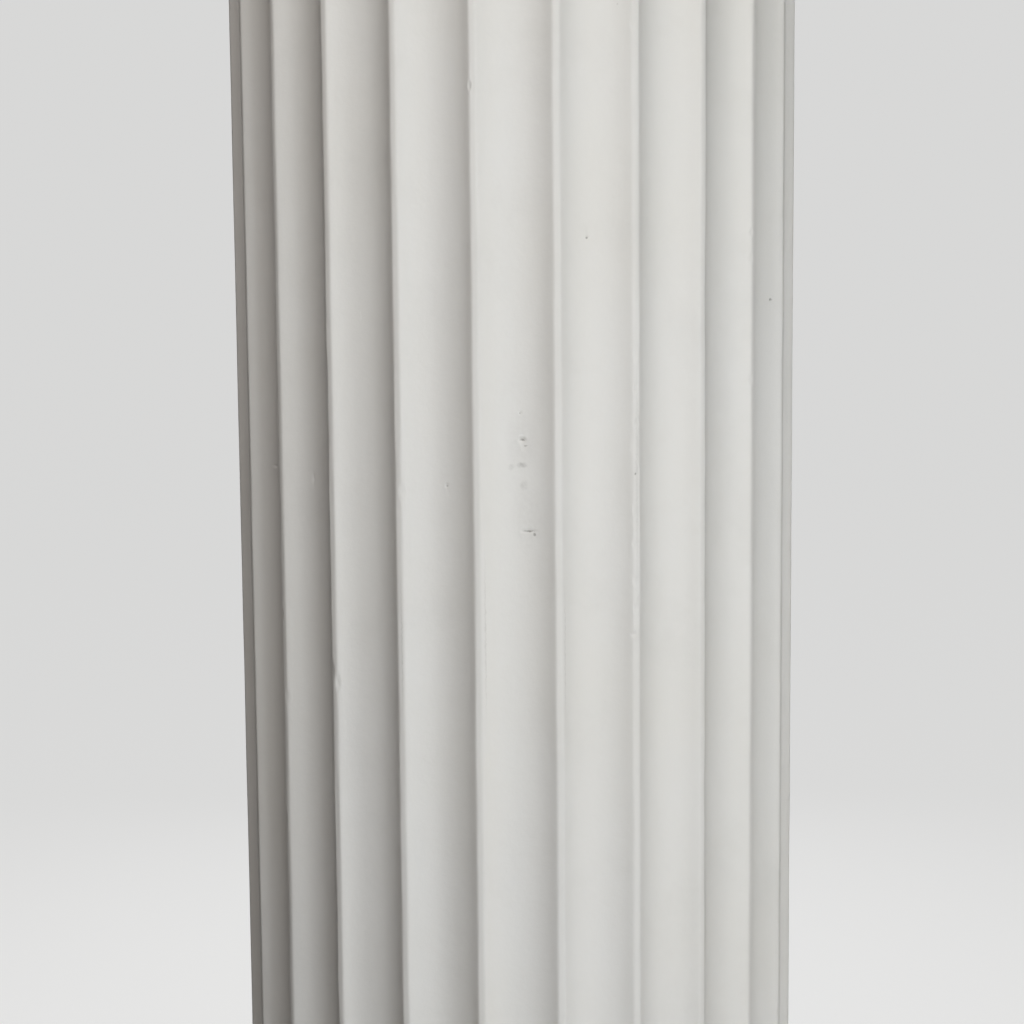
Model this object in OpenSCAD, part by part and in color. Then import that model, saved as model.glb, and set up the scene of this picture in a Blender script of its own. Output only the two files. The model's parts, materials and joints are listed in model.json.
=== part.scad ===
/* [Shaft] */
// Diameter over the lands between the flutes
shaft_d = 300; // [240:5:420]
// Height of the shaft, end fillets included
shaft_h = 780; // [600:10:1200]
// Number of flutes, a multiple of four
flute_count = 24; // [16:4:32]
// Share of each pitch that is left as a flat land
land_share = 0.1; // [0.06:0.01:0.3]
// Depth of a flute below the lands
flute_depth = 8.4; // [4:0.2:10]
// Thickness of the casting behind the deepest line of a flute
shaft_wall = 15.6; // [12:0.2:24]
// Height and projection of the fillet at each end of the shaft
shaft_fillet = 10; // [6:1:14]
// Plain band between the end of a flute and the fillet's flare
flute_margin = 12; // [6:1:30]
// Hairline joint between the two halves of the shaft
seam_gap = 0.2; // [0.1:0.1:0.6]

/* [Base] */
// Distance that the square block stands out past the lower torus
plinth_margin = 14; // [6:1:40]
// Height of the plinth block
plinth_h = 75; // [70:5:120]
// Wall of the square castings
block_wall = 14; // [10:1:20]
// Gap between the floor and the plinth block
floor_gap = 12; // [11:1:16]
// Height of the lower torus
torus_low_h = 38; // [30:1:44]
// Height of the hollow moulding between the two toruses
scotia_h = 22; // [18:1:28]
// Height of the upper torus
torus_high_h = 24; // [18:1:30]
// Height of each fillet of the base
base_fillet_h = 5; // [3:1:8]

/* [Capital] */
// Height of the bead of the necking ring
bead_h = 16; // [12:1:22]
// Height of the plain neck
neck_h = 32; // [20:1:60]
// Height and projection of each step under the echinus
annulet = 4; // [3:1:6]
// Radius of the quarter-round echinus
echinus_r = 26; // [18:1:32]
// Distance that the square abacus stands out past the echinus
abacus_margin = 6; // [3:1:30]
// Thickness of the abacus plate over the top board
abacus_top = 20; // [14:1:30]
// Room around the coupling nut in the hole through the abacus
abacus_hole_gap = 4.6; // [2:0.2:10]

/* [Timber core] */
// Thickness of the base board
base_board_t = 18; // [15:3:24]
// Recess of the base board above the plinth block's lower edge
base_board_up = 18; // [16:1:24]
// Width of the timber bearers on the base board
bearer_w = 34; // [24:1:40]
// Thickness of the top board
top_board_t = 24; // [18:3:30]
// Thickness of the two discs that line the castings up
spigot_t = 36; // [24:2:48]
// Width of the battens behind the shaft's seams
batten_w = 45; // [30:5:60]
// Thickness of the battens
batten_t = 20; // [15:1:30]
// Thickness of the felt pads under the abacus
felt_t = 2; // [1:0.5:4]
// Fitting gap of timber in the castings
timber_gap = 0.5; // [0.3:0.1:1]
// Gap around the top board inside the abacus
lid_gap = 2; // [1:0.5:4]

/* [Hardware] */
// Diameter of the threaded tie rod
rod_d = 12; // [10:1:16]
// Wall of the tie rod's nuts at their flats
rod_nut_wall = 3; // [2:0.5:5]
// Length of the coupling nut at the top of the tie rod
coupling_h = 25; // [22:1:30]
// Thread depth left free in the coupling nut for the exhibit's bolt
coupling_free = 13; // [10:1:14]
// Diameter of the tie rod's washers
washer_d = 36; // [30:1:44]
// Thickness of the tie rod's washers
washer_t = 2.5; // [2:0.5:4]
// Gap between the ballast plates and the bore of the castings
ballast_gap = 16; // [8:1:40]
// Thickness of one ballast plate
ballast_t = 20; // [15:1:25]
// Diameter of the feet's threaded studs
stud_d = 10; // [8:1:12]
// Gap between each foot's stud and the bearers beside it
foot_gap = 16.5; // [10:0.5:30]
// Diameter of the feet's swivel pads
pad_d = 44; // [36:1:50]
// Diameter of the locating dowels
dowel_d = 10; // [8:1:12]
// Distance of the dowels from the bore of the castings
dowel_inset = 20; // [10:1:24]

/* [Hidden] */
$fn = 96;

plaster = [0.93, 0.93, 0.91];
plywood = [0.80, 0.66, 0.46];
timber = [0.86, 0.73, 0.52];
zinc = [0.72, 0.73, 0.75];
iron = [0.25, 0.26, 0.27];
nylon = [0.12, 0.12, 0.13];
rubber = [0.06, 0.06, 0.06];
felt = [0.30, 0.31, 0.30];
past = 1; // how far a cutter runs past the face it opens

// The flute is a round cutter whose circle meets the shaft's surface at both edges of the flute.
shaft_r = shaft_d / 2;
pitch_angle = 360 / flute_count;
flute_half_angle = pitch_angle * (1 - land_share) / 2;
flute_half_w = shaft_r * sin(flute_half_angle);
flute_sag = flute_depth - shaft_r * (1 - cos(flute_half_angle));
flute_r = (flute_half_w * flute_half_w + flute_sag * flute_sag) / (2 * flute_sag);
flute_axis_r = shaft_r - flute_depth + flute_r;
flute_end = 2 * shaft_fillet + flute_margin + flute_half_w;
core_r = shaft_r - flute_depth - shaft_wall; // the bore that runs through all the round castings

// Heights of the joints, from the floor up.
block_z = floor_gap;
moulding_z = block_z + plinth_h;
moulding_h = torus_low_h + scotia_h + torus_high_h + 2 * base_fillet_h;
shaft_z = moulding_z + moulding_h;
neck_z = shaft_z + shaft_h;
neck_fillet_h = 5;
bead_step = 2; // the bead's middle past the shaft
neck_fillet_step = 5; // the fillet over the bead past the shaft
ring_h = bead_h + neck_fillet_h;
capital_z = neck_z + ring_h;
capital_h = neck_h + 2 * annulet + echinus_r;
abacus_z = capital_z + capital_h;
top_board_z = abacus_z;
felt_z = top_board_z + top_board_t;
abacus_under = felt_z + felt_t;
abacus_h = abacus_under + abacus_top - abacus_z;

// Base radii, stepping out from the shaft's fillet to the square block. A torus's radius is its middle's.
fillet_step = 3;
scotia_step = 9;
torus_step = 5;
torus_high_r = shaft_r + shaft_fillet;
fillet_high_r = torus_high_r + fillet_step;
fillet_low_r = fillet_high_r + scotia_step;
torus_low_r = fillet_low_r - torus_step;
plinth_w = 2 * (torus_low_r + torus_low_h / 2 + plinth_margin);

// Capital radii, stepping out from the neck to the square abacus.
echinus_at = shaft_r + annulet;
abacus_w = 2 * (echinus_at + echinus_r + abacus_margin);
lid_pocket_w = abacus_w - 2 * block_wall;
top_board_w = lid_pocket_w - 2 * lid_gap;

// Base board and what stands on it.
board_z = block_z + base_board_up;
board_top = board_z + base_board_t;
pocket_w = plinth_w - 2 * block_wall;
board_w = pocket_w - 2 * timber_gap;
plate_under = moulding_z - block_wall;
bearer_at = (board_w - bearer_w) / 2;
bearer_in = board_w / 2 - bearer_w;
corner_r = 3;

// Tie rod.
thread_gap = 0.05; // room between a screw and its nut
bolt_room = 1; // room around a screw in timber
washer_room = 0.5;
washer_hole_r = rod_d / 2 + washer_room;
rod_hole_r = rod_d / 2 + bolt_room;
rod_nut_af = rod_d + 2 * rod_nut_wall;
nut_share = 0.8; // height of a plain nut, as a share of its screw's diameter
core_share = 0.85; // core of a thread, as a share of its diameter
nut_h = nut_share * rod_d;
seat_depth = 10;
seat_gap = 2;
seat_r = washer_d / 2 + seat_gap;
seat_z = top_board_z + top_board_t - seat_depth;
coupling_z = seat_z + washer_t;
coupling_thread_r = core_share * rod_d / 2;
abacus_hole_r = rod_nut_af / sqrt(3) + abacus_hole_gap;
rod_end = 2; // length of the rod past its lower nut
rod_top = coupling_z + coupling_h - coupling_free;
rod_low = board_z - washer_t - nut_h - rod_end;

// Levelling feet: sole, swivel pad, stud and threaded insert. Ball, neck and collar follow the stud.
foot_at = bearer_in - foot_gap - stud_d / 2;
foot_places = [[foot_at, foot_at], [-foot_at, foot_at], [-foot_at, -foot_at], [foot_at, -foot_at]];
sole_t = 3;
sole_inset = 1;
pad_disc_t = 5;
ball_share = 0.6;
neck_share = 0.4;
collar_share = 1.4;
ball_r = ball_share * stud_d;
stud_neck_r = neck_share * stud_d;
collar_af = collar_share * stud_d;
ball_gap = 0.3;
socket_floor = 0.7;
socket_lip = 3.5; // height of the pad above the ball's middle
boss_wall = 4;
ball_z = sole_t + socket_floor + ball_gap + ball_r;
pad_top = ball_z + socket_lip;
collar_gap = 2.5;
collar_z = pad_top + collar_gap;
collar_h = 5;
stud_above = 18; // length of the stud above the base board
stud_top = board_top + stud_above;
tee_wall = 1.5;
tee_rim = 8; // width of the flange around the stud
tee_flange_r = stud_d / 2 + tee_rim;
tee_flange_t = 1.5;
tee_barrel_r = stud_d / 2 + tee_wall;
tee_barrel_h = 12;

// Screws and dowels. A screw's head is a cone as deep as its radius, flush with the board.
screw_r = 2.2;
screw_head_r = 4.2;
screw_len = 38;
screw_gap = 0.05;
screw_at = 95; // along a bearer, from its middle
dowel_at = core_r + dowel_inset;
dowel_len = 24;
dowel_gap = 0.05;
dowel_hole_r = dowel_d / 2 + dowel_gap;

// Battens and felt pads.
batten_gap = 4; // between a batten and the spigot discs at its ends
felt_pad_r = 20;
felt_inset = 12; // felt pads in from the top board's edge

module ring_at(z, h, r_out, r_in) {
    translate([0, 0, z]) difference() {
        cylinder(h = h, r = r_out);
        translate([0, 0, -past]) cylinder(h = h + 2 * past, r = r_in);
    }
}

module rounded_square(w, r) {
    square([w, w - 2 * r], center = true);
    square([w - 2 * r, w], center = true);
    for (x = [-1, 1], y = [-1, 1]) translate([x * (w / 2 - r), y * (w / 2 - r)]) circle(r);
}

module hex_bar(af, h) {
    cylinder(h = h, r = af / sqrt(3), $fn = 6);
}

module flute_cutter() {
    length = shaft_h - 2 * flute_end;
    translate([flute_axis_r, 0, flute_end]) {
        cylinder(h = length, r = flute_r);
        sphere(flute_r);
        translate([0, 0, length]) sphere(flute_r);
    }
}

module flare_profile() {
    square([shaft_fillet, shaft_fillet]);
    translate([0, shaft_fillet]) difference() {
        square([shaft_fillet, shaft_fillet]);
        translate([shaft_fillet, shaft_fillet]) circle(shaft_fillet);
    }
}

module shaft_blank() {
    rotate_extrude() {
        translate([core_r, 0]) square([shaft_r - core_r, shaft_h]);
        translate([shaft_r, 0]) flare_profile();
        translate([shaft_r, shaft_h]) mirror([0, 1]) flare_profile();
    }
}

// One half of the shaft, on the -Y side, standing on z = 0.
module shaft_half() {
    reach = shaft_d;
    difference() {
        shaft_blank();
        for (i = [0 : flute_count / 2]) rotate([0, 0, 180 + i * pitch_angle]) flute_cutter();
        translate([-reach, -seam_gap / 2, -past]) cube([2 * reach, reach, shaft_h + 2 * past]);
    }
}

module shaft_front() {
    color(plaster) translate([0, 0, shaft_z]) shaft_half();
}

module shaft_back() {
    color(plaster) translate([0, 0, shaft_z]) rotate([0, 0, 180]) shaft_half();
}

module dowel_set(z, r, h) {
    for (x = [-dowel_at, dowel_at]) translate([x, 0, z]) cylinder(h = h, r = r);
}

module plinth_block() {
    color(plaster) difference() {
        translate([0, 0, block_z]) linear_extrude(plinth_h) rounded_square(plinth_w, corner_r);
        translate([0, 0, block_z - past]) linear_extrude(plate_under - block_z + past)
            square(pocket_w, center = true);
        translate([0, 0, plate_under - past]) cylinder(h = block_wall + 2 * past, r = core_r);
        dowel_set(plate_under - past, dowel_hole_r, block_wall + 2 * past);
    }
}

module base_profile() {
    scotia_low = torus_low_h + base_fillet_h;
    scotia_high = scotia_low + scotia_h;
    torus_high_z = scotia_high + base_fillet_h;
    translate([core_r, 0]) square([torus_low_r - core_r, torus_low_h]);
    translate([torus_low_r, torus_low_h / 2]) circle(torus_low_h / 2);
    translate([core_r, torus_low_h]) square([fillet_low_r - core_r, base_fillet_h]);
    difference() {
        polygon([
            [core_r, scotia_low], [fillet_low_r, scotia_low],
            [fillet_high_r, scotia_high], [core_r, scotia_high]
        ]);
        translate([fillet_low_r, (scotia_low + scotia_high) / 2]) circle(scotia_h / 2);
    }
    translate([core_r, scotia_high]) square([fillet_high_r - core_r, base_fillet_h]);
    translate([core_r, torus_high_z]) square([torus_high_r - core_r, torus_high_h]);
    translate([torus_high_r, torus_high_z + torus_high_h / 2]) circle(torus_high_h / 2);
}

module base_moulding() {
    color(plaster) difference() {
        translate([0, 0, moulding_z]) rotate_extrude() base_profile();
        dowel_set(moulding_z - past, dowel_hole_r, dowel_len - block_wall + 2 * past);
    }
}

module necking_ring() {
    color(plaster) translate([0, 0, neck_z]) rotate_extrude() {
        translate([core_r, 0]) square([shaft_r + bead_step - core_r, ring_h]);
        translate([shaft_r + bead_step, bead_h / 2]) circle(bead_h / 2);
        translate([core_r, bead_h]) square([shaft_r + neck_fillet_step - core_r, neck_fillet_h]);
    }
}

module capital_profile() {
    echinus_z = neck_h + 2 * annulet;
    translate([core_r, 0]) square([shaft_r - core_r, neck_h]);
    translate([core_r, neck_h]) square([echinus_at - core_r, annulet]);
    translate([core_r, neck_h + annulet]) square([echinus_at + annulet - core_r, annulet]);
    translate([core_r, echinus_z]) square([echinus_at - core_r, echinus_r]);
    intersection() {
        translate([echinus_at, echinus_z + echinus_r]) circle(echinus_r);
        translate([core_r, echinus_z]) square([echinus_at + echinus_r - core_r, echinus_r]);
    }
}

module capital_moulding() {
    color(plaster) difference() {
        translate([0, 0, capital_z]) rotate_extrude() capital_profile();
        dowel_set(abacus_z - dowel_len / 2 - past, dowel_hole_r, dowel_len);
    }
}

module abacus() {
    color(plaster) difference() {
        translate([0, 0, abacus_z]) linear_extrude(abacus_h) rounded_square(abacus_w, corner_r);
        translate([0, 0, abacus_z - past]) linear_extrude(abacus_under - abacus_z + past)
            square(lid_pocket_w, center = true);
        translate([0, 0, abacus_under - past]) cylinder(h = abacus_top + 2 * past, r = abacus_hole_r);
    }
}

module foot_holes(z, h, r) {
    for (p = foot_places) translate([p[0], p[1], z]) cylinder(h = h, r = r);
}

// Two screws hold each bearer.
module board_screw_places() {
    for (side = [0 : 3], along = [-screw_at, screw_at])
        rotate([0, 0, 90 * side]) translate([along, bearer_at, board_z]) children();
}

module screw_shape(gap) {
    cylinder(h = screw_head_r, r1 = screw_head_r + gap, r2 = screw_r + gap);
    cylinder(h = screw_len + gap, r = screw_r + gap);
}

module base_board() {
    color(plywood) difference() {
        translate([0, 0, board_z]) linear_extrude(base_board_t) square(board_w, center = true);
        translate([0, 0, board_z - past]) cylinder(h = base_board_t + 2 * past, r = rod_hole_r);
        foot_holes(board_z - past, tee_barrel_h + past, tee_barrel_r + thread_gap);
        foot_holes(board_z, base_board_t + past, stud_d / 2 + bolt_room);
        board_screw_places() screw_shape(screw_gap);
    }
}

// The front and back bearers run the board's whole width, and the other two fit between them.
module bearer(turn, length) {
    color(timber) difference() {
        rotate([0, 0, turn]) translate([-length / 2, -bearer_at - bearer_w / 2, board_top])
            cube([length, bearer_w, plate_under - board_top]);
        board_screw_places() screw_shape(screw_gap);
    }
}

module bearer_front() {
    bearer(0, board_w);
}

module bearer_back() {
    bearer(180, board_w);
}

module bearer_left() {
    bearer(-90, 2 * (bearer_in - timber_gap));
}

module bearer_right() {
    bearer(90, 2 * (bearer_in - timber_gap));
}

module board_screws() {
    color(zinc) board_screw_places() screw_shape(0);
}

module spigot_at(z) {
    color(plywood) ring_at(z - spigot_t / 2, spigot_t, core_r - timber_gap, rod_hole_r);
}

module lower_spigot() {
    spigot_at(shaft_z);
}

module upper_spigot() {
    spigot_at(neck_z);
}

module top_board() {
    color(plywood) difference() {
        translate([0, 0, top_board_z]) linear_extrude(top_board_t) square(top_board_w, center = true);
        translate([0, 0, top_board_z - past]) cylinder(h = top_board_t + 2 * past, r = rod_hole_r);
        translate([0, 0, seat_z]) cylinder(h = seat_depth + past, r = seat_r);
        dowel_set(top_board_z - past, dowel_hole_r, dowel_len / 2 + past);
    }
}

module seam_batten(turn) {
    height = shaft_h - spigot_t - 2 * batten_gap;
    color(timber) translate([0, 0, shaft_z + spigot_t / 2 + batten_gap]) rotate([0, 0, turn]) intersection() {
        cylinder(h = height, r = core_r - timber_gap);
        translate([core_r - batten_t, -batten_w / 2, 0]) cube([batten_t, batten_w, height]);
    }
}

module seam_batten_left() {
    seam_batten(180);
}

module seam_batten_right() {
    seam_batten(0);
}

module tie_rod() {
    color(zinc) translate([0, 0, rod_low]) cylinder(h = rod_top - rod_low, r = rod_d / 2);
}

module lower_tie_nut() {
    color(zinc) translate([0, 0, board_z - washer_t - nut_h]) difference() {
        hex_bar(rod_nut_af, nut_h);
        translate([0, 0, -past]) cylinder(h = nut_h + 2 * past, r = rod_d / 2 + thread_gap);
    }
}

module lower_tie_washer() {
    color(zinc) ring_at(board_z - washer_t, washer_t, washer_d / 2, washer_hole_r);
}

module upper_tie_washer() {
    color(zinc) ring_at(seat_z, washer_t, washer_d / 2, washer_hole_r);
}

module coupling_nut() {
    color(zinc) translate([0, 0, coupling_z]) difference() {
        hex_bar(rod_nut_af, coupling_h);
        translate([0, 0, -past])
            cylinder(h = coupling_h - coupling_free + past, r = rod_d / 2 + thread_gap);
        cylinder(h = coupling_h + past, r = coupling_thread_r);
    }
}

module ballast_plate(level) {
    color(iron) ring_at(board_top + level * ballast_t, ballast_t, core_r - ballast_gap, rod_hole_r);
}

module ballast_plate_1() {
    ballast_plate(0);
}

module ballast_plate_2() {
    ballast_plate(1);
}

module ballast_plate_3() {
    ballast_plate(2);
}

module base_dowels() {
    color(timber) dowel_set(moulding_z - block_wall, dowel_d / 2, dowel_len);
}

module top_dowels() {
    color(timber) dowel_set(abacus_z - dowel_len / 2, dowel_d / 2, dowel_len);
}

module felt_pads() {
    at = top_board_w / 2 - felt_inset - felt_pad_r;
    color(felt) for (x = [-at, at], y = [-at, at])
        translate([x, y, felt_z]) cylinder(h = felt_t, r = felt_pad_r);
}

module tee_nuts() {
    flange_z = board_z - tee_flange_t;
    height = tee_flange_t + tee_barrel_h;
    color(zinc) difference() {
        union() {
            foot_holes(flange_z, tee_flange_t, tee_flange_r);
            foot_holes(flange_z, height, tee_barrel_r);
        }
        foot_holes(flange_z - past, height + 2 * past, stud_d / 2 + thread_gap);
    }
}

module foot_stud(place) {
    color(zinc) translate([place[0], place[1], 0]) {
        translate([0, 0, ball_z]) sphere(ball_r);
        translate([0, 0, ball_z]) cylinder(h = collar_z - ball_z, r = stud_neck_r);
        translate([0, 0, collar_z]) hex_bar(collar_af, collar_h);
        translate([0, 0, collar_z]) cylinder(h = stud_top - collar_z, r = stud_d / 2);
    }
}

module foot_pad(place) {
    color(nylon) translate([place[0], place[1], 0]) difference() {
        union() {
            translate([0, 0, sole_t]) cylinder(h = pad_disc_t, r = pad_d / 2);
            translate([0, 0, sole_t]) cylinder(h = pad_top - sole_t, r = ball_r + boss_wall);
        }
        translate([0, 0, ball_z]) sphere(ball_r + ball_gap);
    }
}

module foot_sole(place) {
    color(rubber) translate([place[0], place[1], 0]) cylinder(h = sole_t, r = pad_d / 2 - sole_inset);
}

module foot_stud_1() {
    foot_stud(foot_places[0]);
}

module foot_stud_2() {
    foot_stud(foot_places[1]);
}

module foot_stud_3() {
    foot_stud(foot_places[2]);
}

module foot_stud_4() {
    foot_stud(foot_places[3]);
}

module foot_pad_1() {
    foot_pad(foot_places[0]);
}

module foot_pad_2() {
    foot_pad(foot_places[1]);
}

module foot_pad_3() {
    foot_pad(foot_places[2]);
}

module foot_pad_4() {
    foot_pad(foot_places[3]);
}

module foot_sole_1() {
    foot_sole(foot_places[0]);
}

module foot_sole_2() {
    foot_sole(foot_places[1]);
}

module foot_sole_3() {
    foot_sole(foot_places[2]);
}

module foot_sole_4() {
    foot_sole(foot_places[3]);
}

plinth_block();
base_moulding();
shaft_front();
shaft_back();
necking_ring();
capital_moulding();
abacus();
base_board();
bearer_front();
bearer_back();
bearer_left();
bearer_right();
board_screws();
lower_spigot();
upper_spigot();
top_board();
seam_batten_left();
seam_batten_right();
tie_rod();
lower_tie_nut();
lower_tie_washer();
coupling_nut();
upper_tie_washer();
ballast_plate_1();
ballast_plate_2();
ballast_plate_3();
base_dowels();
top_dowels();
felt_pads();
tee_nuts();
foot_stud_1();
foot_stud_2();
foot_stud_3();
foot_stud_4();
foot_pad_1();
foot_pad_2();
foot_pad_3();
foot_pad_4();
foot_sole_1();
foot_sole_2();
foot_sole_3();
foot_sole_4();
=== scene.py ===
import bpy
import bmesh
import json
import math
import random
from mathutils import Matrix, Vector, kdtree, noise


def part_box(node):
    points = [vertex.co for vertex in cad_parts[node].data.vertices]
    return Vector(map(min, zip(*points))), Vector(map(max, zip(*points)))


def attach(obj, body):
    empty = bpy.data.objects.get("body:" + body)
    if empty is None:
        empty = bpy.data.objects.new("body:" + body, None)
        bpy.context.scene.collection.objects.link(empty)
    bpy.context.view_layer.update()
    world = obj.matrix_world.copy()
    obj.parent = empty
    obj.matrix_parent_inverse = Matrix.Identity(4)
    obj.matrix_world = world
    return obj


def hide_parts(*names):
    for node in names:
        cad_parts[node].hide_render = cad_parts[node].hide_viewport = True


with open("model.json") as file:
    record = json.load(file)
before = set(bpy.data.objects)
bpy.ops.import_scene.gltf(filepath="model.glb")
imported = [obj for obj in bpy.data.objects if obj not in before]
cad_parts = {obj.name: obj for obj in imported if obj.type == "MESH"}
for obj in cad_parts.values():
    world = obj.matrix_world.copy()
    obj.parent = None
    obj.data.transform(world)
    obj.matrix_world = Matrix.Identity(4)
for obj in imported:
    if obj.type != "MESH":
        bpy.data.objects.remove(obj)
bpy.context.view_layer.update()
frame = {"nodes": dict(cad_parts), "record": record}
mm = 0.001

bench = {
    "merge": 0.01 * mm,
    "copyMerge": 0.002 * mm,
    "straight": 0.5,  # degrees, under which a copy's neighbouring faces count as one
    "flatWeight": 60,
    "smoothUnder": 35,
    "copySmoothUnder": 40,
    "turnedSmoothUnder": 38,
    "edgeSegments": 3,
    "holeSides": 48,
    "boreSides": 144,
    "drillPast": 5 * mm,  # so that a hole's cut clears the face it starts from
}


def restAll():
    if bpy.context.object and bpy.context.object.mode != "OBJECT":
        leave()
    bpy.ops.object.select_all(action="DESELECT")


def edit():
    bpy.ops.object.mode_set(mode="EDIT")


def editAll():
    edit()
    bpy.ops.mesh.select_all(action="SELECT")


def leave():
    bpy.ops.object.mode_set(mode="OBJECT")


def workOn(piece):
    restAll()
    piece.select_set(True)
    bpy.context.view_layer.objects.active = piece
    return piece


def added(name):
    piece = bpy.context.object
    piece.name = name
    piece.data.name = name
    return piece


def settle(piece):  # the place and size go into the mesh
    workOn(piece)
    bpy.ops.object.transform_apply(location=True, rotation=True, scale=True)
    return piece


def applyAll(piece):
    workOn(piece)
    for modifier in list(piece.modifiers):
        bpy.ops.object.modifier_apply(modifier=modifier.name)
    return piece


def pick(what, wanted):  # in edit mode: selects the vertices, edges or faces that pass
    mesh = bmesh.from_edit_mesh(bpy.context.object.data)
    for group in (mesh.verts, mesh.edges, mesh.faces):
        for item in group:
            item.select = False
    for item in getattr(mesh, what):
        if wanted(item):
            item.select_set(True)
    bmesh.update_edit_mesh(bpy.context.object.data)


def reshape(move, onlyPicked=False):  # in edit mode: each vertex goes where move says
    mesh = bmesh.from_edit_mesh(bpy.context.object.data)
    for vertex in mesh.verts:
        if vertex.select or not onlyPicked:
            vertex.co = move(vertex.co.copy())
    bmesh.update_edit_mesh(bpy.context.object.data)


def closeUp():
    bpy.ops.mesh.select_all(action="SELECT")
    bpy.ops.mesh.remove_doubles(threshold=bench["merge"])
    bpy.ops.mesh.normals_make_consistent(inside=False)
    leave()


def pickRim(height=None):  # in edit mode: the open edges, or only those at this height
    def onRim(edge):
        level = height is None or all(abs(v.co.z - height) < bench["merge"] for v in edge.verts)
        return edge.is_boundary and level

    pick("edges", onRim)


def extrudeUp(height):  # in edit mode: a wall on the picked edges
    bpy.ops.mesh.extrude_edges_move()
    bpy.ops.transform.translate(value=(0, 0, height))


def smooth(piece, degrees=bench["smoothUnder"]):
    workOn(piece)
    bpy.ops.object.shade_smooth_by_angle(angle=math.radians(degrees))


def flatten(piece):  # wide faces take their own normal, and the narrow rounded ones turn between them
    even = piece.modifiers.new("even", "WEIGHTED_NORMAL")
    even.keep_sharp = True
    even.weight = bench["flatWeight"]
    applyAll(piece)


def cutAway(piece, tool):
    cut = piece.modifiers.new("cut", "BOOLEAN")
    cut.operation = "DIFFERENCE"
    cut.solver = "EXACT"
    cut.object = tool
    applyAll(piece)
    bpy.data.objects.remove(tool)


def drill(piece, places, radius, low, high, sides=bench["holeSides"]):  # round holes along Z
    for x, y in places:
        restAll()
        bpy.ops.mesh.primitive_cylinder_add(vertices=sides, radius=radius, depth=high - low,
                                            location=(x, y, (low + high) / 2))
        cutAway(piece, settle(added("bit")))


def edgeSoftened(piece, width, limit=bench["smoothUnder"], clamp=False):
    rounding = piece.modifiers.new("rounding", "BEVEL")
    rounding.width = width
    rounding.segments = bench["edgeSegments"]
    rounding.limit_method = "ANGLE"
    rounding.angle_limit = math.radians(limit)
    rounding.use_clamp_overlap = clamp
    applyAll(piece)
    smooth(piece, limit)
    return piece


class Wire:  # a socket's value, with sums written the usual way
    def __init__(self, shop, socket):
        self.shop = shop
        self.socket = socket

    def maths(self, operation, other, flipped=False):
        values = [other, self] if flipped else [self, other]
        return self.shop.node("ShaderNodeMath", {"operation": operation}, values)

    def __add__(self, other):
        return self.maths("ADD", other)

    def __radd__(self, other):
        return self.maths("ADD", other, True)

    def __sub__(self, other):
        return self.maths("SUBTRACT", other)

    def __rsub__(self, other):
        return self.maths("SUBTRACT", other, True)

    def __mul__(self, other):
        return self.maths("MULTIPLY", other)

    def __rmul__(self, other):
        return self.maths("MULTIPLY", other, True)

    def __truediv__(self, other):
        return self.maths("DIVIDE", other)

    def __rtruediv__(self, other):
        return self.maths("DIVIDE", other, True)

    def __gt__(self, other):
        return self.maths("GREATER_THAN", other)


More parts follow.
